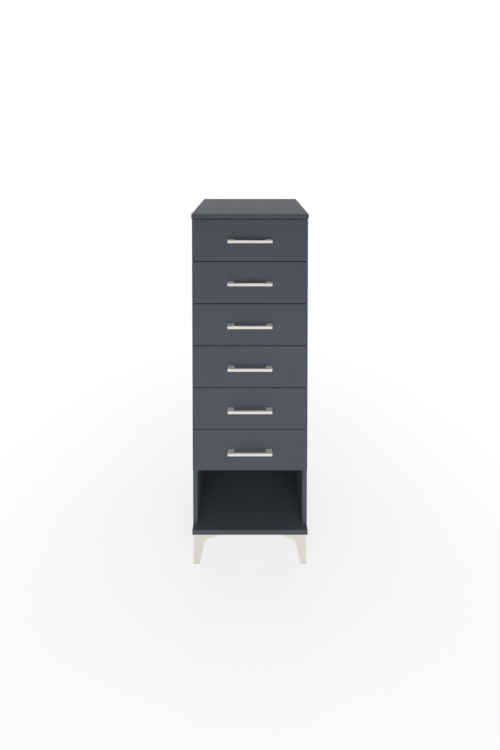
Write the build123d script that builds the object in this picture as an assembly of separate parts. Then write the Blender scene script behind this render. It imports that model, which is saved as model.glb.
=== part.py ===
from build123d import *
import os

# Tall cabinet of six drawers over an open compartment, standing on four corner legs.
# Lengths are in millimetres. X runs to the right, Y to the rear and Z up. The origin is on the floor,
# under the middle of the whole outline, handles included.

# Carcass
board = 18.0  # thickness of the carcass boards and of the drawer fronts
cabinet_width = 450.0
cabinet_depth = 400.0  # front edge to rear edge of the top and bottom panels
compartment_height = 236.0
back_thickness = 3.0
back_inset = 1.0  # outline of the cabinet to the edges of the back panel
edge_radius = 1.0  # rounding of the banded board edges

# Drawer fronts
drawer_count = 6
front_height = 161.0
front_gap = 3.0  # between two fronts, and between the top front and the top panel
front_reveal = 2.0  # side of the cabinet to the end of a front
front_setback = 3.0  # front edge of the top panel to the faces of the fronts
bumper_gap = 2.0  # rear face of a front to the front edges of the side panels

# Drawer boxes
drawer_board = 15.0
box_side_play = 1.0  # side panel to drawer side
box_floor_room = 4.0  # divider shelf to the lower edge of the lowest box
box_top_room = 19.0  # upper edge of a box to the upper edge of its front
box_rear_room = 26.0  # back panel to the rear end of a box
base_thickness = 3.0
base_rise = 10.0  # lower edge of a box to the underside of its base
base_groove = 6.0  # depth of the grooves that hold the base
groove_play = 0.2

# Runner strips
strip_height = 17.0
strip_width = 10.0
strip_setback = 4.0  # front edge of the side panel to the front end of a strip
strip_play = 0.3  # strip to the groove in the drawer side
peg_radius = 2.5
peg_length = 10.0
peg_inset = 40.0  # end of a strip to its peg

# Handles
handle_length = 171.0
handle_height = 10.0
handle_projection = 23.0
handle_bar = 7.0  # front to rear through the bar
handle_post = 24.0  # width of an end post
handle_corner = 2.0
handle_inner_corner = 3.0
handle_edge = 0.8
handle_screw_inset = 5.5  # end of the handle to the middle of its screw

# Legs
leg_height = 120.0  # floor to the underside of the bottom panel
leg_inset = 7.0  # panel edges to the outer corner of the leg, at the top
leg_splay = 3.7  # how far the outer corner moves outwards down to the floor
leg_wall = 3.5
leg_reach = 112.0  # outer corner to the tip of the wing
leg_tip = 1.8  # height of the wing at its tip
knee_width = 42.0
knee_drop = 26.6
knee_radius = 12.0
foot_width = 24.7
leg_corner = 1.5  # rounding of the outer corner
flange_thickness = 2.5
flange_reach = 78.0
glide_height = 5.0
glide_width = 9.0
glide_inset = 0.4  # the glide stays this far inside the faces of the leg
glide_slope = 9.0  # length of the bevel under the inner end of a glide
glide_lift = 3.0  # height of that bevel

# Fastenings
fit_play = 0.1  # around dowels, bolts, screws and pegs
joint_inset = 50.0  # edges of a side panel to the nearest cam bolt
dowel_spacing = 32.0  # cam bolt to the dowel beside it
dowel_radius = 4.0
dowel_long = 18.0  # in the end of a board
dowel_short = 12.0  # in the face of the other board
cam_radius = 7.5
cam_distance = 34.0  # joint face to the middle of the cam
cam_reach = 3.5  # middle of the board to the inner end of the cam
bolt_radius = 2.5
bolt_anchor = 11.0
bolt_head_radius = 3.2
bolt_head_length = 5.0
screw_radius = 2.0
screw_head_radius = 4.0
screw_head_height = 2.4
handle_screw_bite = 9.0  # screw inside the handle
leg_screw_bite = 12.0  # screw inside the bottom panel
back_screw_bite = 22.0  # screw inside the back of a drawer
recess_length = 4.4
recess_width = 1.1
recess_depth = 1.2
leg_screw_far = 62.0  # outer corner of the leg to its two far screws
leg_screw_near = 15.0  # faces of the leg to those screws
leg_screw_middle = 24.0  # faces of the leg to the third screw
pin_radius = 0.8
pin_length = 20.0
pin_head_radius = 1.8
pin_head_height = 0.8
pin_inset = 40.0  # ends of the back panel to the first pin
pins_per_side = 8
pins_across = 3
pad_radius = 4.0
pad_play = 0.3  # bumper pad to the closed front
pad_drop = 15.0  # upper edge of a front to the middle of its pads
fit_margin = 4.0  # base of a drawer to the rim of the lower cams
overrun = 1.0  # cuts run this far past the faces they open

# Levels from front to rear
overall_depth = cabinet_depth - front_setback + handle_projection
front_y = handle_projection - overall_depth / 2
panel_front_y = front_y - front_setback
panel_rear_y = panel_front_y + cabinet_depth
front_rear_y = front_y + board
side_front_y = front_rear_y + bumper_gap
side_rear_y = panel_rear_y - back_thickness
box_rear_y = side_rear_y - box_rear_room
strip_front_y = side_front_y + strip_setback

# Levels from the floor up
compartment_floor_z = leg_height + board
divider_z = compartment_floor_z + compartment_height
drawer_pitch = front_height + front_gap
side_top_z = divider_z + drawer_count * drawer_pitch

# Distances from the middle plane
side_outer_x = cabinet_width / 2
side_inner_x = side_outer_x - board
side_middle_x = side_outer_x - board / 2
box_outer_x = side_inner_x - box_side_play
box_inner_x = box_outer_x - drawer_board

# Heights inside one drawer, from the lower edge of its front
box_z = board + box_floor_room
box_top_z = front_height - box_top_room
strip_z = (box_z + box_top_z) / 2
base_z = box_z + base_rise
base_top_z = base_z + base_thickness
low_fit_z = base_top_z + fit_margin + cam_radius
high_fit_z = box_top_z - (low_fit_z - box_z)
handle_z = front_height / 2
handle_screw_x = handle_length / 2 - handle_screw_inset


def block(x, y, z):
    """Box between a low and a high value on each axis."""
    spans = (x, y, z)
    size = [high - low for low, high in spans]
    middle = [(low + high) / 2 for low, high in spans]
    return Pos(*middle) * Box(*size)


def rod(radius, low, high):
    """Cylinder on the Z axis between two heights."""
    return Pos(0, 0, (low + high) / 2) * Cylinder(radius, high - low)


def frame(origin, along, across=None):
    """Local frame at a point: Z goes along, X goes across."""
    return Plane(origin=origin, x_dir=across, z_dir=along).location


def other_side(shape):
    """The same piece on the other side of the middle plane."""
    return mirror(shape, about=Plane.YZ)


def both_sides(shapes):
    """Pieces of the right-hand side, and the same pieces on the left."""
    right = list(shapes)
    return right + [other_side(shape) for shape in right]


def cross_recess(face_z):
    """Driver recess sunk upwards from a face at the given height."""
    depth = (face_z - overrun, face_z + recess_depth)
    long_way = (-recess_length / 2, recess_length / 2)
    short_way = (-recess_width / 2, recess_width / 2)
    return block(long_way, short_way, depth) + block(short_way, long_way, depth)


def screw(length):
    """Screw with its head below the local origin and its shank above it."""
    head = rod(screw_head_radius, -screw_head_height, 0)
    return rod(screw_radius, 0, length) + head - cross_recess(-screw_head_height)


def screw_hole(length):
    """Room for a screw, its head included."""
    head = rod(screw_head_radius + fit_play, -screw_head_height - overrun, 0)
    return rod(screw_radius + fit_play, 0, length + fit_play) + head


def pin():
    """Nail for the back panel, with its head above the local origin and its shank below it."""
    return rod(pin_radius, -pin_length, 0) + rod(pin_head_radius, -pin_head_height, 0)


def pin_hole():
    """Room for a nail."""
    head = rod(pin_head_radius + fit_play, -pin_head_height - fit_play, overrun)
    return rod(pin_radius + fit_play, -pin_length - fit_play, 0) + head


# A cam joint has its own frame. The origin is on the joint face and on the axis of the bolt. Z goes into the
# board that takes the thread, and X goes to the face in which the cam is seen.
def cam_bolt():
    """Bolt from the thread down to the head that the cam grips."""
    half_head = bolt_head_length / 2
    head = rod(bolt_head_radius, -cam_distance - half_head, -cam_distance + half_head)
    return rod(bolt_radius, -cam_distance, bolt_anchor) + head


def bolt_channel(upper):
    """Room for the bolt in the end of a board, up to the given height."""
    return rod(bolt_head_radius + fit_play, -cam_distance - bolt_head_length / 2 - fit_play, upper)


def cam_body(radius, thickness, extra, outside):
    """Cylinder of the cam, made deeper by extra and carried past the face by outside."""
    low = -cam_reach - extra
    high = thickness / 2 + outside
    return Pos(0, 0, -cam_distance) * Rot(0, 90, 0) * rod(radius, low, high)


def cam_lock(thickness):
    """Cam in a board of the given thickness, open towards the bolt, with a driver recess."""
    recess = Pos(thickness / 2, 0, -cam_distance) * Rot(0, -90, 0) * cross_recess(0)
    return cam_body(cam_radius, thickness, 0, 0) - bolt_channel(-cam_distance + cam_radius + overrun) - recess


def cam_room(thickness):
    """Room for a cam and its bolt in both boards."""
    pocket = cam_body(cam_radius + fit_play, thickness, fit_play, overrun)
    thread = rod(bolt_radius + fit_play, 0, bolt_anchor + fit_play)
    return pocket + bolt_channel(0) + thread


# Where the carcass boards meet. Each row has the Y of a cam bolt and of the dowel beside it.
joint_rows = (
    (side_front_y + joint_inset, side_front_y + joint_inset + dowel_spacing),
    (side_rear_y - joint_inset, side_rear_y - joint_inset - dowel_spacing),
)


def joint_frames(y):
    """Frames of the three joints of the right-hand side panel at one distance from the front."""
    top = frame((side_middle_x, y, side_top_z), (0, 0, 1), (-1, 0, 0))
    bottom = frame((side_middle_x, y, compartment_floor_z), (0, 0, -1), (-1, 0, 0))
    divider = frame((side_inner_x, y, divider_z + board / 2), (1, 0, 0), (0, 0, -1))
    return top, bottom, divider


cam_frames = [place for cam_y, dowel_y in joint_rows for place in joint_frames(cam_y)]
dowel_frames = [place for cam_y, dowel_y in joint_rows for place in joint_frames(dowel_y)]
dowel = rod(dowel_radius, -dowel_long, dowel_short)
dowel_hole = rod(dowel_radius + fit_play, -dowel_long - fit_play, dowel_short + fit_play)
cam_locks = both_sides(place * cam_lock(board) for place in cam_frames)
cam_bolts = both_sides(place * cam_bolt() for place in cam_frames)
wood_dowels = both_sides(place * dowel for place in dowel_frames)
joint_holes = [place * cam_room(board) for place in cam_frames]
joint_holes = both_sides(joint_holes + [place * dowel_hole for place in dowel_frames])

# Nails of the back panel, into the side panels and the divider shelf
pin_low_z = compartment_floor_z + pin_inset
pin_step = (side_top_z - compartment_floor_z - 2 * pin_inset) / (pins_per_side - 1)
pin_levels = [pin_low_z + n * pin_step for n in range(pins_per_side)]
pin_places = [(side * side_middle_x, z) for side in (-1, 1) for z in pin_levels]
across_step = 2 * side_inner_x / (pins_across + 1)
pin_places += [(-side_inner_x + (n + 1) * across_step, divider_z + board / 2) for n in range(pins_across)]
pin_frames = [frame((x, panel_rear_y, z), (0, 1, 0)) for x, z in pin_places]
back_pins = [place * pin() for place in pin_frames]
pin_holes = [place * pin_hole() for place in pin_frames]

# Runner strips, one pair for each drawer, pressed into the side panels by their pegs
front_levels = [side_top_z - (n + 1) * drawer_pitch for n in range(drawer_count)]
peg_rows = (strip_front_y + peg_inset, box_rear_y - peg_inset)


def peg_rods(z, play):
    """The two pegs of the right-hand strip at one height, enlarged by a play."""
    places = [frame((side_inner_x, y, z), (1, 0, 0)) for y in peg_rows]
    return [place * rod(peg_radius + play, 0, peg_length + play) for place in places]


def runner_strip(z):
    """Right-hand strip at one height."""
    across = (side_inner_x - strip_width, side_inner_x)
    bar = block(across, (strip_front_y, box_rear_y), (z - strip_height / 2, z + strip_height / 2))
    return bar + peg_rods(z, 0)


strip_levels = [level + strip_z for level in front_levels]
runner_strips = both_sides(runner_strip(z) for z in strip_levels)
peg_holes = both_sides(hole for z in strip_levels for hole in peg_rods(z, fit_play))

# Rubber pads on the front edges of the side panels, where the fronts close
pad_levels = [level + front_height - pad_drop for level in front_levels]
pad = rod(pad_radius, 0, bumper_gap - pad_play)
bumper_pads = both_sides(frame((side_middle_x, side_front_y, z), (0, -1, 0)) * pad for z in pad_levels)


# A leg has its own frame: the origin is its outer corner under the bottom panel, X and Y go inwards.
def leg_screw_places():
    """Frames of the three screws of a leg, under its flange."""
    spots = (
        (leg_screw_middle, leg_screw_middle),
        (leg_screw_far, leg_screw_near),
        (leg_screw_near, leg_screw_far),
    )
    return [Pos(x, y, -flange_thickness) for x, y in spots]


def both_wings(shape):
    """A piece of the wing along X, joined to the same piece along Y."""
    return shape + mirror(shape, about=Plane(origin=(0, 0, 0), z_dir=(1, -1, 0)))


def corner_leg():
    """Two tapered wings that lean outwards, under a three-cornered flange."""
    foot_z = glide_height - leg_height
    outside_x = -leg_splay - overrun
    foot_inner_x = foot_width - leg_splay
    knee = (knee_width, -knee_drop)
    rim = Polyline((outside_x, 0), (leg_reach, 0), (leg_reach, -leg_tip), knee, (foot_inner_x, foot_z),
                   (outside_x, foot_z), close=True)
    outline = make_face(rim)
    knee_point = outline.vertices().sort_by_distance((*knee, 0))[0]
    outline = fillet(knee_point, knee_radius)
    lean = Vector(-leg_splay, -leg_splay, -leg_height)
    sheet = Pos(leg_reach / 2, leg_wall / 2) * Rectangle(leg_reach, leg_wall)
    wall = extrude(sheet, amount=lean.length, dir=lean)
    wings = both_wings(wall & extrude(Plane.XZ * outline, amount=leg_reach, both=True))
    near = leg_wall / 2
    plate = make_face(Polyline((near, near), (flange_reach, near), (near, flange_reach), close=True))
    leg = wings + extrude(plate, amount=-flange_thickness)
    corner_edge = leg.edges().sort_by(lambda edge: edge.center().X + edge.center().Y)[0]
    leg = fillet(corner_edge, leg_corner)
    return leg - [place * screw_hole(leg_screw_length) for place in leg_screw_places()]


def leg_glide():
    """Plastic foot under a leg, bevelled upwards at its inner ends."""
    low_z = -leg_height
    high_z = glide_height - leg_height
    outer = glide_inset - leg_splay
    inner = foot_width - leg_splay - glide_inset
    rim = Polyline((outer, high_z), (outer, low_z), (inner - glide_slope, low_z), (inner, low_z + glide_lift),
                   (inner, high_z), close=True)
    outline = Plane(origin=(0, outer, 0), x_dir=(1, 0, 0), z_dir=(0, -1, 0)) * make_face(rim)
    return both_wings(extrude(outline, amount=-glide_width))


def four_corners(shape):
    """A piece of the front left leg, then the same piece at the front right, back left and back right."""
    middle = Plane(origin=(0, (panel_front_y + panel_rear_y) / 2, 0), z_dir=(0, 1, 0))
    front_left = Pos(leg_inset - side_outer_x, panel_front_y + leg_inset, leg_height) * shape
    back_left = mirror(front_left, about=middle)
    return front_left, other_side(front_left), back_left, other_side(back_left)


leg_screw_length = flange_thickness + leg_screw_bite
leg_names = ("leg_front_left", "leg_front_right", "leg_back_left", "leg_back_right")
legs = dict(zip(leg_names, four_corners(corner_leg())))
leg_glides = four_corners(leg_glide())
leg_screw = screw(leg_screw_length)
leg_screw_hole = screw_hole(leg_screw_length)
leg_screws = [copy for place in leg_screw_places() for copy in four_corners(place * leg_screw)]
leg_holes = [copy for place in leg_screw_places() for copy in four_corners(place * leg_screw_hole)]

# Carcass boards
full_width = (-side_outer_x, side_outer_x)
full_depth = (panel_front_y, panel_rear_y)
side_depth = (side_front_y, side_rear_y)
side_rise = (compartment_floor_z, side_top_z)
inner_width = (-side_inner_x, side_inner_x)
top_panel = block(full_width, full_depth, (side_top_z, side_top_z + board))
top_panel = fillet(top_panel.edges(), edge_radius) - joint_holes
bottom_panel = block(full_width, full_depth, (leg_height, compartment_floor_z))
bottom_panel = fillet(bottom_panel.edges(), edge_radius) - joint_holes - leg_holes
right_side = block((side_inner_x, side_outer_x), side_depth, side_rise)
right_side = fillet(right_side.edges().filter_by(Axis.Z).group_by(Axis.Y)[0], edge_radius)
right_side = right_side - joint_holes - peg_holes - pin_holes
divider = block(inner_width, side_depth, (divider_z, divider_z + board))
divider = fillet(divider.edges().filter_by(Axis.X).group_by(Axis.Y)[0], edge_radius)
divider = divider - joint_holes - pin_holes
back_width = (back_inset - side_outer_x, side_outer_x - back_inset)
back_panel = block(back_width, (side_rear_y, panel_rear_y), side_rise) - pin_holes


# A drawer is made with the lower edge of its front at height zero, and then lifted to its place.
def drawer_handle():
    """Flat bar handle with square posts at its ends, open behind the bar."""
    gap = Pos(0, handle_bar / 2) * Rectangle(handle_length - 2 * handle_post, handle_projection - handle_bar)
    plan = Rectangle(handle_length, handle_projection) - gap
    plan = fillet(plan.vertices().group_by(Axis.Y)[0], handle_corner)
    bar_rear_y = handle_bar - handle_projection / 2
    inner_corners = [point for point in plan.vertices() if abs(point.Y - bar_rear_y) < fit_play]
    plan = fillet(inner_corners, handle_inner_corner)
    bar = extrude(plan, amount=handle_height / 2, both=True)
    rims = bar.edges().group_by(Axis.Z)
    bar = fillet(rims[0] + rims[-1], handle_edge)
    return Pos(0, front_y - handle_projection / 2, handle_z) * bar


fit_levels = (low_fit_z, high_fit_z)
box_middle_x = box_outer_x - drawer_board / 2
handle_screw_length = board + handle_screw_bite
back_screw_length = drawer_board + back_screw_bite - screw_head_height
handle_screw_frames = [frame((side * handle_screw_x, front_rear_y, handle_z), (0, -1, 0)) for side in (-1, 1)]
box_cam_frames = [frame((box_middle_x, front_rear_y, z), (0, -1, 0), (1, 0, 0)) for z in fit_levels]
back_screw_x = box_outer_x - screw_head_height
back_screw_y = box_rear_y - drawer_board / 2
back_screw_frames = [frame((back_screw_x, back_screw_y, z), (-1, 0, 0)) for z in fit_levels]

handle_holes = [place * screw_hole(handle_screw_length) for place in handle_screw_frames]
box_cam_holes = both_sides(place * cam_room(drawer_board) for place in box_cam_frames)
back_screw_holes = both_sides(place * screw_hole(back_screw_length) for place in back_screw_frames)
fittings = [place * screw(handle_screw_length) for place in handle_screw_frames]
fittings += both_sides(place * cam_lock(drawer_board) for place in box_cam_frames)
fittings += both_sides(place * cam_bolt() for place in box_cam_frames)
fittings += both_sides(place * screw(back_screw_length) for place in back_screw_frames)

base_half_x = box_inner_x + base_groove
base_front_y = front_rear_y - base_groove
groove_rise = (base_z, base_top_z + groove_play)
base_room = block((-base_half_x, base_half_x), (base_front_y, box_rear_y + overrun), groove_rise)

front_width = (front_reveal - side_outer_x, side_outer_x - front_reveal)
front = block(front_width, (front_y, front_rear_y), (0, front_height))
front = fillet(front.edges(), edge_radius) - handle_holes - box_cam_holes - base_room
box_side = block((box_inner_x, box_outer_x), (front_rear_y, box_rear_y), (box_z, box_top_z))
strip_room = block(
    (side_inner_x - strip_width - strip_play, box_outer_x + overrun),
    (front_rear_y, box_rear_y + overrun),
    (strip_z - strip_height / 2 - strip_play, strip_z + strip_height / 2 + strip_play),
)
box_side = box_side - strip_room - base_room - box_cam_holes - back_screw_holes
box_back_depth = (box_rear_y - drawer_board, box_rear_y)
box_back = block((-box_inner_x, box_inner_x), box_back_depth, (base_top_z, box_top_z))
box_back = box_back - back_screw_holes
base_width = (groove_play - base_half_x, base_half_x - groove_play)
base = block(base_width, (base_front_y + groove_play, box_rear_y), (base_z, base_top_z))
drawer = {
    "front": [front],
    "handle": [drawer_handle() - handle_holes],
    "left_side": [other_side(box_side)],
    "right_side": [box_side],
    "back": [box_back],
    "base": [base],
    "fittings": fittings,
}

# The whole cabinet, piece by piece
pieces = {
    "top_panel": [top_panel],
    "bottom_panel": [bottom_panel],
    "left_side_panel": [other_side(right_side)],
    "right_side_panel": [right_side],
    "divider_shelf": [divider],
    "back_panel": [back_panel],
    "runner_strips": runner_strips,
    "bumper_pads": bumper_pads,
    "cam_locks": cam_locks,
    "cam_bolts": cam_bolts,
    "wood_dowels": wood_dowels,
    "back_pins": back_pins,
    "leg_glides": leg_glides,
    "leg_screws": leg_screws,
}
for name, leg in legs.items():
    pieces[name] = [leg]
for number, level in enumerate(front_levels, start=1):
    for name, shapes in drawer.items():
        pieces[f"drawer_{number}_{name}"] = [Pos(0, 0, level) * shape for shape in shapes]

os.makedirs("parts", exist_ok=True)
for name, shapes in pieces.items():
    solids = [solid for shape in shapes for solid in shape.solids()]
    export_step(Compound(solids), f"parts/{name}.step")
    print(name, len(solids), "solids")
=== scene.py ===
# %% [markdown]
# ## A tall cabinet of drawers
# The real object is flat-pack furniture: dark melamine-faced board, six drawers whose fronts cover the
# front edges of the sides, an open compartment below them, bar handles, and four corner legs in a warm
# silver colour.
# The solids are loaded first. They already have the right shapes, so most of this lesson is about
# finishes. The few new pieces are the plastic bands that close the cut edges of the boards. They are
# thin, so the solids leave them out, but they catch the light along every edge.

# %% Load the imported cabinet
import math

import bpy
import numpy as np
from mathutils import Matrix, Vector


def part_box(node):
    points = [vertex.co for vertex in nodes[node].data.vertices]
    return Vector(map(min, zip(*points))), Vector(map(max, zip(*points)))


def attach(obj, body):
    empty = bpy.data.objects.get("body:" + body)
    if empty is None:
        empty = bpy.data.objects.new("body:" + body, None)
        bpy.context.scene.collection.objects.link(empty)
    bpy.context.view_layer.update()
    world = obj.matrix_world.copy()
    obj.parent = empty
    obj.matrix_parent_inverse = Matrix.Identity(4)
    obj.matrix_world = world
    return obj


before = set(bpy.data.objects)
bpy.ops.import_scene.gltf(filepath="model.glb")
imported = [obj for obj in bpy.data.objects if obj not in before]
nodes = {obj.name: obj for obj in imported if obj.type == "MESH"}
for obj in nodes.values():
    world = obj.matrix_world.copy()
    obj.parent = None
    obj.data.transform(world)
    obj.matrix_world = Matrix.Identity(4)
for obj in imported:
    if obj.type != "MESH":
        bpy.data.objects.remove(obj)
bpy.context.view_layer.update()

# %% [markdown]
# ## Shared surface effects
# Printed melamine, lacquer, plating and moulded plastic are all a little uneven: the tone drifts over a
# hand's width, and the skin has a fine texture that breaks up reflections. One node group makes both from
# noise in object coordinates, which are metres here, so a scale of 1000 gives millimetre-sized grains.
# Each material sets its own scale and strength.


# %% Helpers for shader nodes
def add_node(tree, kind, links=None, **settings):
    """One node with its settings.
    links maps an input's name or number to a value, or to another node's output."""
    node = tree.nodes.new(kind)
    for key, value in settings.items():
        setattr(node, key, value)
    for socket, source in (links or {}).items():
        if isinstance(source, bpy.types.NodeSocket):
            tree.links.new(source, node.inputs[socket])
        else:
            node.inputs[socket].default_value = source
    return node


def arithmetic(tree, operation, first, second=0.0, third=0.0):
    """Output of one Math node."""
    links = {0: first, 1: second, 2: third}
    return add_node(tree, "ShaderNodeMath", links, operation=operation).outputs[0]


def vector_arithmetic(tree, operation, first, second):
    """Vector output of one Vector Math node: the second input is a number where the operation is SCALE."""
    slot = "Scale" if operation == "SCALE" else 1
    return add_node(tree, "ShaderNodeVectorMath", {0: first, slot: second}, operation=operation).outputs[0]


def noise(tree, place, scale, detail, distortion=0.0):
    """Outputs of one Noise Texture node."""
    links = {"Vector": place, "Scale": scale, "Detail": detail, "Distortion": distortion}
    return add_node(tree, "ShaderNodeTexNoise", links).outputs


def object_place(tree):
    """Place on the piece, in metres, in the shared frame."""
    return add_node(tree, "ShaderNodeTexCoord").outputs["Object"]


def start_group(name, inputs, outputs):
    """An empty shader node group with named sockets.
    Returns its tree, its inputs and the sockets that take its outputs."""
    tree = bpy.data.node_groups.new(name, "ShaderNodeTree")
    for label, (kind, value) in inputs.items():
        tree.interface.new_socket(name=label, in_out="INPUT", socket_type=kind).default_value = value
    for label, kind in outputs.items():
        tree.interface.new_socket(name=label, in_out="OUTPUT", socket_type=kind)
    return tree, tree.nodes.new("NodeGroupInput").outputs, tree.nodes.new("NodeGroupOutput").inputs


FLOAT, COLOUR, VECTOR = "NodeSocketFloat", "NodeSocketColor", "NodeSocketVector"
print("sockets of a group:", FLOAT, COLOUR, VECTOR)

# %% Group for an uneven skin
skin, skin_in, skin_out = start_group(
    "uneven skin",
    {"Grain Scale": (FLOAT, 900.0), "Drift Scale": (FLOAT, 5.0), "Drift": (FLOAT, 0.05)},
    {"Tone": FLOAT, "Grain": FLOAT},
)
place = object_place(skin)
grain = noise(skin, place, skin_in["Grain Scale"], detail=3.0)["Fac"]
drift = noise(skin, place, skin_in["Drift Scale"], detail=4.0)["Fac"]
centred = arithmetic(skin, "SUBTRACT", drift, 0.5)
skin.links.new(arithmetic(skin, "MULTIPLY_ADD", centred, skin_in["Drift"], 1.0), skin_out["Tone"])
skin.links.new(grain, skin_out["Grain"])
print("group:", skin.name, "with", len(skin.nodes), "nodes")

# %% [markdown]
# Satin metal is rubbed in one direction, which leaves hair-fine lines. The group squeezes noise across
# the rubbing direction and stretches it along it, by scaling the object coordinates before they reach the
# noise.

# %% Group for rubbed lines
LINES_ALONG_X = (15.0, 2500.0, 2500.0)  # cells of noise in a metre, along X, Y and Z
rubbed, rubbed_in, rubbed_out = start_group(
    "rubbed lines", {"Stretch": (VECTOR, LINES_ALONG_X)}, {"Line": FLOAT}
)
squeezed = vector_arithmetic(rubbed, "MULTIPLY", object_place(rubbed), rubbed_in["Stretch"])
rubbed.links.new(noise(rubbed, squeezed, scale=1.0, detail=3.0)["Fac"], rubbed_out["Line"])
print("group:", rubbed.name, "with", len(rubbed.nodes), "nodes")

# %% [markdown]
# ## The dark board
# The carcass and the drawer fronts are chipboard under a printed, resin-soaked paper: melamine. It is a
# bluish dark grey, smooth to the hand, with a soft satin sheen. The sheen is weak seen straight on and
# strong at a low angle, and that is why the top panel looks paler than the fronts. A low specular level
# and a middling roughness give that. A painted colour map could do the same, but the noise costs nothing
# and has no seams from one board to the next.

# %% Helpers for materials
FINE_RELIEF = 0.0001  # metres, as the depth of a bump
COARSE_RELIEF = 0.0002
ROUGHNESS_SPREAD = 0.06


def start_material(name, **sockets):
    """A material with one Principled BSDF. Constant values go straight onto the shader's own sockets."""
    material = bpy.data.materials.new(name)
    material.use_nodes = True
    shader = material.node_tree.nodes["Principled BSDF"]
    for socket, value in sockets.items():
        shader.inputs[socket.replace("_", " ")].default_value = value
    return material, material.node_tree, shader


def place_group(tree, group, **values):
    """A shared group set into a material with its own values. An underscore stands for a space."""
    links = {label.replace("_", " "): value for label, value in values.items()}
    return add_node(tree, "ShaderNodeGroup", links, node_tree=group).outputs


def uneven_colour(tree, shader, colour, tone):
    """Base colour times the slowly drifting tone."""
    tree.links.new(vector_arithmetic(tree, "SCALE", colour, tone), shader.inputs["Base Color"])


def grain_bump(tree, shader, height, strength, depth=FINE_RELIEF):
    """Bump from a height that varies over the surface."""
    bump = add_node(tree, "ShaderNodeBump", {"Height": height, "Strength": strength, "Distance": depth})
    tree.links.new(bump.outputs[0], shader.inputs["Normal"])


def varied_roughness(tree, shader, source, start, end):
    """Roughness that goes from start to end as the source goes from 0 to 1."""
    spread = add_node(tree, "ShaderNodeMapRange", {"Value": source, "To Min": start, "To Max": end})
    tree.links.new(spread.outputs[0], shader.inputs["Roughness"])


def melamine(name, colour, specular, roughness):
    """Printed board face: drifting tone, fine grain, satin sheen."""
    material, tree, shader = start_material(name, Specular_IOR_Level=specular)
    effect = place_group(tree, skin, Grain_Scale=1400.0, Drift_Scale=4.0, Drift=0.10)
    uneven_colour(tree, shader, colour, effect["Tone"])
    smoothest, roughest = roughness - ROUGHNESS_SPREAD, roughness + ROUGHNESS_SPREAD
    varied_roughness(tree, shader, effect["Grain"], smoothest, roughest)
    grain_bump(tree, shader, effect["Grain"], strength=0.12)
    return material


DARK_GREY = (0.0680, 0.0772, 0.0955)
print("dark grey, as the part of red, green and blue light that comes back:", DARK_GREY)

# %% Melamine on the boards
dark_board = melamine("dark melamine", DARK_GREY, specular=0.12, roughness=0.45)
drawers = range(1, 7)
carcass = ["top_panel", "bottom_panel", "left_side_panel", "right_side_panel", "divider_shelf"]
fronts = [f"drawer_{number}_front" for number in drawers]
for name in carcass + fronts:
    nodes[name].data.materials[0] = dark_board
print("dark board on", len(carcass), "carcass boards and", len(fronts), "fronts")

# %% [markdown]
# ## Edge bands
# The cut edges of the boards are closed with a strip of plastic, glued on and trimmed flush, with its two
# outer corners rounded over. Each band is a profile carried along a path. The path is the edge of the
# board, and at every point of it an outward direction is known. The profile is a closed loop in two
# numbers: how far out, and how far across the thickness. Carrying a closed loop along a closed path gives
# a ring without any open side, and a straight path is closed with two end caps. A bevel on the boards
# would round the edges too, but it would not leave the fine step where the band meets the face.
# The profile also carries a number, 1 in the middle of each corner and 0 on the flats, and the material
# makes
# those corners a little paler and shinier: partly wear where hands and cloths rub them, partly a painted
# highlight along every edge.

# %% Profile of a band
X, Y, Z = range(3)
BAND_DEPTH = 0.0008
BAND_PROUD = 0.00005
BAND_ROUND = 0.001
CORNER_STEPS = 4
FLAT_START = 1.25  # where the flat outer side begins, in radii of the rounded corner


def box_corners(name):
    """Lowest and highest corner of a node at rest, as arrays."""
    return tuple(np.array(corner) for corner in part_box(name))


def band_profile(thickness):
    """Outward offset, place across the board, and corner weight of a closed loop: an outer side with both
    corners rounded by quarter circles, and a straight inner side. The weight is 1 in the middle of each
    corner, which is painted paler as wear and as a painted highlight. A second point close to the end of
    each circle keeps the flat part flat."""
    half = thickness / 2 + BAND_PROUD
    turn = np.linspace(math.pi / 2, 0.0, CORNER_STEPS + 1)
    out = np.concatenate([[-BAND_DEPTH], BAND_PROUD - BAND_ROUND * (1.0 - np.cos(turn)), [BAND_PROUD]])
    across = half - BAND_ROUND * np.concatenate([[0.0], 1.0 - np.sin(turn), [FLAT_START]])
    edge_wear_and_highlight = np.concatenate([[0.0], np.sin(2.0 * turn), [0.0]])
    return (
        np.concatenate([out, out[::-1]]),
        np.concatenate([across, -across[::-1]]),
        np.concatenate([edge_wear_and_highlight, edge_wear_and_highlight[::-1]]),
    )


board_low, board_high = box_corners("top_panel")
offsets, positions, edge_wear_and_highlight_weights = band_profile(board_high[Z] - board_low[Z])
print("band profile:", len(offsets), "points,", round(float(np.ptp(positions)) * 1000, 2), "mm across")

# %% Profile along a path
SHARP_ANGLE = math.radians(35.0)


def add_mesh(name, points, faces):
    """Object from points and faces, wound so that its signed volume is positive, smooth except at sharp
    corners."""
    corners = points[np.array([face[:3] for face in faces])] - points.mean(axis=0)
    volume = np.einsum("ij,ij->i", corners[:, 0], np.cross(corners[:, 1], corners[:, 2])).sum()
    mesh = bpy.data.meshes.new(name)
    mesh.from_pydata(points, [], faces if volume > 0 else [face[::-1] for face in faces])
    mesh.shade_smooth()
    mesh.set_sharp_from_angle(angle=SHARP_ANGLE)
    made = bpy.data.objects.new(name, mesh)
    bpy.context.scene.collection.objects.link(made)
    return made


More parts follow.
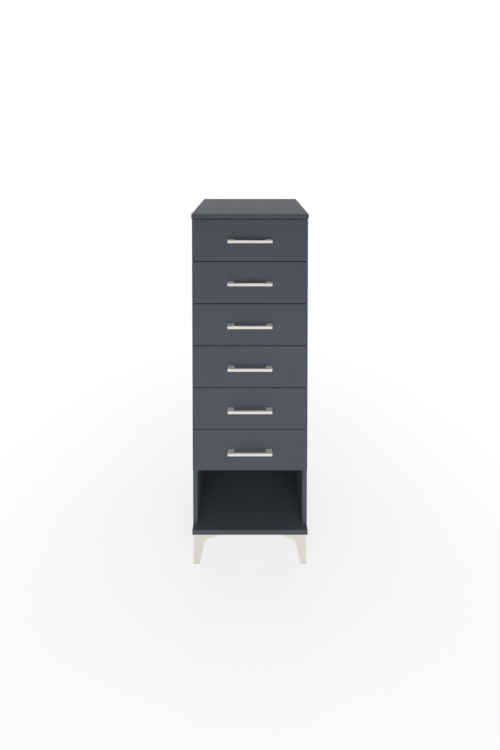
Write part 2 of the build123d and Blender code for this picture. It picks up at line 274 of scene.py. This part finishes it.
def carry_profile(name, path, outward, thin, closed):
    """point(t, s) = path(t) + outward(t) * offset(s) + thin * position(s),
    for every t of the path and every s of the loop."""
    out = outward[:, None, :] * offsets[None, :, None]
    points = path[:, None, :] + out + thin * positions[None, :, None]
    stations, around = points.shape[:2]
    here = np.arange(stations if closed else stations - 1)[:, None] * around + np.arange(around)
    ahead = (here + around) % (stations * around)
    quads = np.stack([here, np.roll(here, -1, 1), np.roll(ahead, -1, 1), ahead], -1)
    faces = quads.reshape(-1, 4).tolist()
    if not closed:
        faces += [list(range(around))[::-1], list(range((stations - 1) * around, stations * around))]
    made = add_mesh(name, points.reshape(-1, 3), faces)
    made.data.attributes.new("edge_wear_and_highlight", "FLOAT", "POINT").data.foreach_set("value", np.tile(edge_wear_and_highlight_weights, stations))
    return made


def ring_path(low, high, first, second, corner):
    """Edge of a rectangle with rounded corners in the plane of two axes: each corner is a quarter circle
    about a centre that lies in from both edges by the radius."""
    starts = np.arange(4) * 90.0
    angle = np.radians((starts[:, None] + np.linspace(0.0, 90.0, CORNER_STEPS + 1)).ravel())
    quarter = np.radians(np.repeat(starts + 45.0, CORNER_STEPS + 1))
    outward, side = np.zeros((2, len(angle), 3))
    outward[:, first], outward[:, second] = np.cos(angle), np.sin(angle)
    side[:, first], side[:, second] = np.sign(np.cos(quarter)), np.sign(np.sin(quarter))
    return (low + high) / 2 + side * ((high - low) / 2 - corner) + outward * corner, outward


print("path round the top panel:", len(ring_path(board_low, board_high, X, Y, BAND_ROUND)[0]), "points")

# %% Band material
# Paler grey for the rounded corners of the bands: part wear, part a painted highlight along every edge.
WORN_AND_HIGHLIGHT_GREY = (0.082, 0.092, 0.112)


def with_alpha(colour):
    """A written colour as the four numbers of a colour socket. A node's output stays as it is."""
    return (*colour, 1.0) if isinstance(colour, tuple) else colour


def blend_colours(tree, factor, first, second):
    """Colour between two colours."""
    links = {"Factor": factor, 6: with_alpha(first), 7: with_alpha(second)}
    return add_node(tree, "ShaderNodeMix", links, data_type="RGBA").outputs[2]


dark_band, tree, shader = start_material("dark edge band", Specular_IOR_Level=0.14)
effect = place_group(tree, skin, Grain_Scale=600.0, Drift_Scale=30.0, Drift=0.12)
edge_wear_and_highlight = add_node(tree, "ShaderNodeAttribute", attribute_name="edge_wear_and_highlight").outputs["Fac"]
# Paler, shinier rounded corners: partly wear, partly a painted highlight along the edges.
wear_and_highlight = arithmetic(tree, "MULTIPLY", edge_wear_and_highlight, effect["Grain"])
uneven_colour(tree, shader, blend_colours(tree, wear_and_highlight, DARK_GREY, WORN_AND_HIGHLIGHT_GREY), effect["Tone"])
varied_roughness(tree, shader, wear_and_highlight, start=0.45, end=0.33)
grain_bump(tree, shader, effect["Grain"], strength=0.08)
print("band material:", dark_band.name, "with", len(tree.nodes), "nodes")


# %% Bands on the boards
def finish_band(band, body):
    """Material and body of a band."""
    band.data.materials.append(dark_band)
    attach(band, body)
    return band


AXES = np.eye(3)
ringed = {"top_panel": (X, Y, Z, "cabinet"), "bottom_panel": (X, Y, Z, "cabinet")}
ringed.update({f"drawer_{number}_front": (X, Z, Y, f"drawer_{number}") for number in drawers})
bands = []
for name, (first, second, thin, body) in ringed.items():
    path, outward = ring_path(*box_corners(name), first, second, BAND_ROUND)
    bands.append(finish_band(carry_profile(name + "_band", path, outward, AXES[thin], True), body))

for name, along, thin in (("left_side_panel", Z, X), ("right_side_panel", Z, X), ("divider_shelf", X, Z)):
    low, high = box_corners(name)
    path = np.tile((low + high) / 2, (2, 1))
    path[:, Y] = low[Y]
    path[:, along] = low[along], high[along]
    outward = np.tile(-AXES[Y], (2, 1))
    bands.append(finish_band(carry_profile(name + "_band", path, outward, AXES[thin], False), "cabinet"))
print("bands:", len(bands), "with", sum(len(band.data.polygons) for band in bands), "faces")

# %% [markdown]
# ## Drawer boxes
# Inside, the drawers are pale grey board, thinner than the fronts. A groove runs along the outside of
# each side, and the runner strip slides in it. The groove is cut after the board is faced, so its walls
# show the core of pressed chips. Cells of a Voronoi texture, pulled out of round by noise, stand for the
# chips. Each cell has its own random number, and that number picks a tan between pale and dark.

# %% Group for pressed chips
CHIPS_PER_METRE = 450.0
DARK_CHIP = (0.19, 0.115, 0.058)
PALE_CHIP = (0.60, 0.44, 0.27)
STIR_REACH = 0.006  # metres by which the noise pulls a cell out of round
chips, chips_in, chips_out = start_group(
    "pressed chips", {"Chip Scale": (FLOAT, CHIPS_PER_METRE)}, {"Colour": COLOUR, "Height": FLOAT}
)
place = object_place(chips)
stir = noise(chips, place, scale=160.0, detail=2.0)["Color"]
stirred = vector_arithmetic(chips, "ADD", place, vector_arithmetic(chips, "SCALE", stir, STIR_REACH))
cells = add_node(chips, "ShaderNodeTexVoronoi", {"Vector": stirred, "Scale": chips_in["Chip Scale"]})
random_number = add_node(chips, "ShaderNodeSeparateColor", {0: cells.outputs["Color"]}).outputs[0]
chips.links.new(blend_colours(chips, random_number, DARK_CHIP, PALE_CHIP), chips_out["Colour"])
chips.links.new(cells.outputs["Distance"], chips_out["Height"])
print("group:", chips.name, "with", len(chips.nodes), "nodes")

# %% [markdown]
# The material finds the groove by its place: between the two faces of the side, and near the groove's
# height, which repeats from drawer to drawer. Ping-pong folds the height so that every groove gives a
# small number.

# %% Places of the grooves
side_low, side_high = box_corners("drawer_6_right_side")
DRAWER_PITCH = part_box("drawer_5_right_side")[0][Z] - side_low[Z]
SIDE_MIDDLE = (side_low[X] + side_high[X]) / 2
GROOVE_MIDDLE = (side_low[Z] + side_high[Z]) / 2
CORE_MARGIN = 0.0005  # from the faces of the side to where the bare core starts
CORE_HALF_WIDTH = (side_high[X] - side_low[X]) / 2 - CORE_MARGIN
GROOVE_HALF_HEIGHT = 0.0091  # with a margin of 0.3 mm, so that both walls of the groove lie inside
print("grooves repeat every", round(DRAWER_PITCH * 1000, 1), "mm")


# %% Pale board with a bare groove
def axes_of(tree):
    """The three object coordinates, one by one."""
    return add_node(tree, "ShaderNodeSeparateXYZ", {0: object_place(tree)}).outputs


PALE_GREY = (0.62, 0.62, 0.61)
pale_board, tree, shader = start_material("pale melamine", Specular_IOR_Level=0.3)
effect = place_group(tree, skin, Grain_Scale=1400.0, Drift_Scale=4.0, Drift=0.06)
bare = place_group(tree, chips, Chip_Scale=CHIPS_PER_METRE)
axes = axes_of(tree)
between = arithmetic(tree, "COMPARE", arithmetic(tree, "ABSOLUTE", axes["X"]), SIDE_MIDDLE, CORE_HALF_WIDTH)
above_groove = arithmetic(tree, "SUBTRACT", axes["Z"], GROOVE_MIDDLE)
folded = arithmetic(tree, "PINGPONG", above_groove, DRAWER_PITCH / 2)
in_groove = arithmetic(tree, "MULTIPLY", between, arithmetic(tree, "LESS_THAN", folded, GROOVE_HALF_HEIGHT))
printed = vector_arithmetic(tree, "SCALE", PALE_GREY, effect["Tone"])
tree.links.new(blend_colours(tree, in_groove, printed, bare["Colour"]), shader.inputs["Base Color"])
rough = arithmetic(tree, "MAXIMUM", in_groove, effect["Grain"])
varied_roughness(tree, shader, rough, start=0.35, end=0.85)
relief = blend_colours(tree, in_groove, effect["Grain"], bare["Height"])
grain_bump(tree, shader, relief, strength=0.25, depth=COARSE_RELIEF)
boxes = [f"drawer_{number}_{board}" for number in drawers for board in ("left_side", "right_side", "back")]
for name in boxes:
    nodes[name].data.materials[0] = pale_board
print("pale board on", len(boxes), "pieces")

# %% [markdown]
# ## Hardboard
# The back panel and the drawer bases are 3 mm hardboard: pressed wood fibre. One face is lacquered, the
# other is raw brown with the print of the wire screen on which it was pressed. The back panel shows its
# raw side to the wall, so its colour is chosen by depth: the lacquered face is the one towards the
# drawers.

# %% Back panel and drawer bases
WIRE_SPACING = 0.0018
LACQUER_DEPTH = 0.0004
DARK_FIBRE = (0.145, 0.076, 0.038)
PALE_FIBRE = (0.37, 0.228, 0.128)
BASE_GREY = (0.58, 0.58, 0.57)
panel_low, panel_high = box_corners("back_panel")
hardboard, tree, shader = start_material("hardboard", Specular_IOR_Level=0.2)
effect = place_group(tree, skin, Grain_Scale=700.0, Drift_Scale=9.0, Drift=0.25)
axes = axes_of(tree)
raw = arithmetic(tree, "GREATER_THAN", axes["Y"], panel_low[Y] + LACQUER_DEPTH)
fibre = noise(tree, object_place(tree), scale=260.0, detail=6.0, distortion=2.5)["Fac"]
brown = vector_arithmetic(tree, "SCALE", blend_colours(tree, fibre, DARK_FIBRE, PALE_FIBRE), effect["Tone"])
tree.links.new(blend_colours(tree, raw, DARK_GREY, brown), shader.inputs["Base Color"])
rough = arithmetic(tree, "MAXIMUM", raw, effect["Grain"])
varied_roughness(tree, shader, rough, start=0.40, end=0.85)
waves = [arithmetic(tree, "MULTIPLY", axes[axis], math.tau / WIRE_SPACING) for axis in "XZ"]
wires = [arithmetic(tree, "SINE", wave) for wave in waves]
screen = arithmetic(tree, "MULTIPLY", arithmetic(tree, "MULTIPLY", *wires), raw)
relief = arithmetic(tree, "ADD", screen, effect["Grain"])
grain_bump(tree, shader, relief, strength=0.3, depth=COARSE_RELIEF)
nodes["back_panel"].data.materials[0] = hardboard

pale_base = melamine("pale lacquered hardboard", BASE_GREY, specular=0.3, roughness=0.40)
for number in drawers:
    nodes[f"drawer_{number}_base"].data.materials[0] = pale_base
panel_thickness = round((panel_high[Y] - panel_low[Y]) * 1000, 1)
print("hardboard:", panel_thickness, "mm back panel and", len(drawers), "bases")

# %% [markdown]
# ## Warm silver metal
# The handles and the legs share one look: satin metal in a warm, slightly yellow silver. Metal has no
# colour of its own besides its reflection, so the base colour is the colour in which it mirrors a white
# room. The rubbed lines run along the bar of a handle, and down the length of a leg. A mirror polish
# would show the dark front in the tops of the posts, so the roughness is high enough to blur it.

# %% Handles and legs
LINES_ALONG_Z = (1800.0, 1800.0, 12.0)
NICKEL = (0.86, 0.825, 0.763)
LEG_COATING = (0.82, 0.785, 0.715)


def satin_metal(name, colour, stretch, smoothest, roughest):
    """Plated metal with fine lines: the lines vary the roughness and make a faint relief."""
    material, tree, shader = start_material(name, Metallic=1.0)
    effect = place_group(tree, skin, Grain_Scale=500.0, Drift_Scale=14.0, Drift=0.06)
    line = place_group(tree, rubbed, Stretch=stretch)["Line"]
    uneven_colour(tree, shader, colour, effect["Tone"])
    varied_roughness(tree, shader, line, smoothest, roughest)
    grain_bump(tree, shader, line, strength=0.10)
    return material


handle_metal = satin_metal("satin nickel", NICKEL, LINES_ALONG_X, smoothest=0.55, roughest=0.72)
leg_metal = satin_metal("satin leg coating", LEG_COATING, LINES_ALONG_Z, smoothest=0.34, roughest=0.50)
handles = [f"drawer_{number}_handle" for number in drawers]
legs = [f"leg_{end}_{side}" for end in ("front", "back") for side in ("left", "right")]
for name in handles + legs:
    nodes[name].data.materials[0] = handle_metal if name in handles else leg_metal
print("satin metal on", len(handles), "handles and", len(legs), "legs")

# %% [markdown]
# ## Fittings
# Screws, cams, bolts and nails are zinc plated: a cool grey metal with small crystal patches. The cams
# that would show in the open compartment are lacquered dark, like the board round them. The material
# tells them by their height. The dowels are plain beech. The runner strips, the glides under the feet and
# the pads behind the fronts are moulded, with a fine mould texture.

# %% Zinc and beech
COMPARTMENT_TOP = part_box("divider_shelf")[1][Z]
ZINC_GREY = (0.60, 0.61, 0.62)
DARK_BEECH = (0.42, 0.27, 0.14)
PALE_BEECH = (0.70, 0.52, 0.34)
zinc, tree, shader = start_material("zinc plating", Specular_IOR_Level=0.3)
effect = place_group(tree, skin, Grain_Scale=900.0, Drift_Scale=60.0, Drift=0.30)
lacquered = arithmetic(tree, "LESS_THAN", axes_of(tree)["Z"], COMPARTMENT_TOP)
uneven_colour(tree, shader, blend_colours(tree, lacquered, ZINC_GREY, DARK_GREY), effect["Tone"])
tree.links.new(arithmetic(tree, "SUBTRACT", 1.0, lacquered), shader.inputs["Metallic"])
varied_roughness(tree, shader, effect["Grain"], start=0.25, end=0.50)
grain_bump(tree, shader, effect["Grain"], strength=0.10)

beech, tree, shader = start_material("beech", Specular_IOR_Level=0.3)
line = place_group(tree, rubbed, Stretch=(900.0, 900.0, 60.0))["Line"]
tree.links.new(blend_colours(tree, line, DARK_BEECH, PALE_BEECH), shader.inputs["Base Color"])
varied_roughness(tree, shader, line, start=0.55, end=0.75)
print("cams are dark below", round(COMPARTMENT_TOP * 1000), "mm")


# %% Plain zinc, plastic and rubber
def moulded(name, colour, smoothest, roughest, **sockets):
    """A small piece with a fine even texture."""
    material, tree, shader = start_material(name, **sockets)
    effect = place_group(tree, skin, Grain_Scale=1100.0, Drift_Scale=20.0, Drift=0.08)
    uneven_colour(tree, shader, colour, effect["Tone"])
    varied_roughness(tree, shader, effect["Grain"], smoothest, roughest)
    grain_bump(tree, shader, effect["Grain"], strength=0.20)
    return material


bright_zinc = moulded("bright zinc", ZINC_GREY, smoothest=0.25, roughest=0.50, Metallic=1.0)
finishes = {
    "runner_strips": moulded("strip plastic", (0.78, 0.78, 0.76), smoothest=0.40, roughest=0.55),
    "leg_glides": moulded("glide plastic", (0.62, 0.59, 0.55), smoothest=0.45, roughest=0.60),
    "bumper_pads": moulded("pad rubber", (0.45, 0.45, 0.45), smoothest=0.50, roughest=0.70),
    "wood_dowels": beech,
    "cam_locks": zinc,
    "cam_bolts": bright_zinc,
    "back_pins": bright_zinc,
    "leg_screws": bright_zinc,
}
finishes.update({f"drawer_{number}_fittings": bright_zinc for number in drawers})
for name, material in finishes.items():
    nodes[name].data.materials[0] = material
print("small pieces finished:", len(finishes))

# %% [markdown]
# ## Floor and background
# The picture is a plain studio view: a white floor that runs into a white background. A floor that is
# bright enough to look white would also throw a lot of light at the cabinet, so the whiteness is only for
# what is seen: camera rays and mirrored rays get most of it as plain white, and all of it further away,
# while the rest of the floor keeps its pale colour and the soft shadow. The world does the same: white to
# look at, softer as a light.

# %% Floor
FLOOR_REACH = 30.0
FLOOR_HEIGHT = -0.0005  # a little under the feet, so that no face of theirs lies in it
FLOOR_COLOUR = (0.86, 0.86, 0.865)
NEAR, FAR = 0.3, 1.5  # distances from the middle of the cabinet between which the whiteness grows
NEAR_WHITENESS = 0.72


def flat_sheet(name, reach, height):
    """Square at one height: two parameters between 0 and 1 run across and along it, and each side goes from
    minus the reach to the reach."""
    across, along = np.meshgrid(np.linspace(0, 1, 2), np.linspace(0, 1, 2))
    points = np.stack([(across * 2 - 1) * reach, (along * 2 - 1) * reach, np.full_like(across, height)], -1)
    mesh = bpy.data.meshes.new(name)
    mesh.from_pydata(points.reshape(-1, 3), [], [(0, 1, 3, 2)])
    sheet = bpy.data.objects.new(name, mesh)
    bpy.context.scene.collection.objects.link(sheet)
    return sheet


def seen_rays(tree):
    """1 for rays from the camera and for mirrored or passed-on ones, 0 for those that only carry light."""
    rays = add_node(tree, "ShaderNodeLightPath").outputs
    passed_on = arithmetic(tree, "MAXIMUM", rays["Is Glossy Ray"], rays["Is Transmission Ray"])
    return arithmetic(tree, "MAXIMUM", rays["Is Camera Ray"], passed_on)


floor = flat_sheet("floor", FLOOR_REACH, FLOOR_HEIGHT)
floor_finish, tree, shader = start_material("pale floor", Roughness=0.9, Specular_IOR_Level=0.1)
effect = place_group(tree, skin, Grain_Scale=40.0, Drift_Scale=1.0, Drift=0.01)
uneven_colour(tree, shader, FLOOR_COLOUR, effect["Tone"])
floor_place = object_place(tree)
distance = add_node(tree, "ShaderNodeVectorMath", {0: floor_place}, operation="LENGTH").outputs["Value"]
growth = {"Value": distance, "From Min": NEAR, "From Max": FAR, "To Min": NEAR_WHITENESS, "To Max": 1.0}
whiteness = add_node(tree, "ShaderNodeMapRange", growth).outputs[0]
white = add_node(tree, "ShaderNodeEmission").outputs[0]
factor = arithmetic(tree, "MULTIPLY", seen_rays(tree), whiteness)
shown = add_node(tree, "ShaderNodeMixShader", {0: factor, 1: shader.outputs[0], 2: white}).outputs[0]
tree.links.new(shown, tree.nodes["Material Output"].inputs["Surface"])
floor.data.materials.append(floor_finish)
print("floor:", [round(size) for size in floor.dimensions], "m")

# %% World
WORLD_LIGHT = 0.35
world = bpy.data.worlds.new("studio")
bpy.context.scene.world = world
world.use_nodes = True
tree = world.node_tree
levels = {"Value": seen_rays(tree), "To Min": WORLD_LIGHT, "To Max": 1.0}
strength = add_node(tree, "ShaderNodeMapRange", levels).outputs[0]
background = tree.nodes["Background"]
tree.links.new(strength, background.inputs["Strength"])
background.inputs["Color"].default_value = (1.0, 1.0, 1.0, 1.0)
print("world gives", WORLD_LIGHT, "as light and shows as white")

# %% [markdown]
# ## Lamps
# Five wide soft lamps stand round the cabinet. The front lamp stands lower than the upper drawers, so
# their light comes a little from below: that leaves the soft dark patch above each handle, and the light
# still reaches into the compartment. The lamp is about as wide and tall as it is far away, so no shadow
# behind a handle gets hard. The side and rear lamps stand behind the plane of the fronts, and the top
# lamp hangs above and a little behind the cabinet, so they light the other faces to about the same level
# and leave the fronts alone. At that level a colour shows about as it is written. None of the lamps shows
# in reflections, which the white world fills already.


# %% Soft lamps
def soft_lamp(name, place, target, width, height, power):
    """Rectangular lamp that faces a point: tipped back from looking straight down, then turned about the
    upright axis. Lengths are in metres and the power is in watts."""
    lamp = bpy.data.lights.new(name, "AREA")
    lamp.shape = "RECTANGLE"
    lamp.size, lamp.size_y, lamp.energy = width, height, power
    holder = bpy.data.objects.new(name, lamp)
    bpy.context.scene.collection.objects.link(holder)
    holder.location = place
    aim = np.subtract(target, place)
    tip = math.acos(-aim[Z] / np.linalg.norm(aim))
    holder.rotation_euler = (tip, 0.0, math.atan2(aim[Y], aim[X]) - math.pi / 2)
    holder.visible_camera = False
    holder.visible_glossy = False


soft_lamp("front lamp", place=(0.0, -1.4, 0.70), target=(0.0, 0.0, 0.15), width=1.6, height=1.4, power=14.2)
for name, x in (("right lamp", 2.4), ("left lamp", -2.4)):
    soft_lamp(name, place=(x, 0.75, 0.75), target=(0.0, 0.05, 0.70), width=1.2, height=1.2, power=22.5)
soft_lamp("rear lamp", place=(0.0, 2.6, 0.85), target=(0.0, 0.20, 0.70), width=1.4, height=1.2, power=24.0)
soft_lamp("top lamp", place=(0.0, 0.45, 3.0), target=(0.0, 0.45, 0.0), width=1.0, height=1.0, power=2.5)
print("lamps:", [f"{lamp.name} {lamp.energy:.1f} W" for lamp in bpy.data.lights])

# %% [markdown]
# ## Camera
# The camera comes from the picture itself. Measured edges of the cabinet, fitted to its known sizes, give
# the distance, the height, the focal length in pixels and the shift. The frame is shifted down, as with
# an architect's camera, so upright edges stay nearly upright. A tilt of a little over one degree keeps
# the shift smaller than a level camera would need.

# %% Camera from the picture
IMAGE_WIDTH = 500
FOCAL_PIXELS = 360.0
SHIFT_PIXELS = -220.6
TILT_DOWN = math.radians(1.25)
CAMERA_PLACE = (0.0, -1.5612, 1.6343)
SENSOR_WIDTH = 36.0  # millimetres, as the lens is
SIGHT = 100.0  # metres, past the far edge of the floor
camera_data = bpy.data.cameras.new("camera")
camera_data.sensor_fit = "HORIZONTAL"
camera_data.sensor_width = SENSOR_WIDTH
camera_data.lens = SENSOR_WIDTH * FOCAL_PIXELS / IMAGE_WIDTH
camera_data.shift_y = SHIFT_PIXELS / IMAGE_WIDTH
camera_data.clip_end = SIGHT
camera = bpy.data.objects.new("camera", camera_data)
bpy.context.scene.collection.objects.link(camera)
camera.location = CAMERA_PLACE
camera.rotation_euler = (math.pi / 2 - TILT_DOWN, 0.0, 0.0)
bpy.context.scene.camera = camera
bpy.context.scene.view_settings.view_transform = "Standard"
print("lens", round(camera_data.lens, 2), "mm")
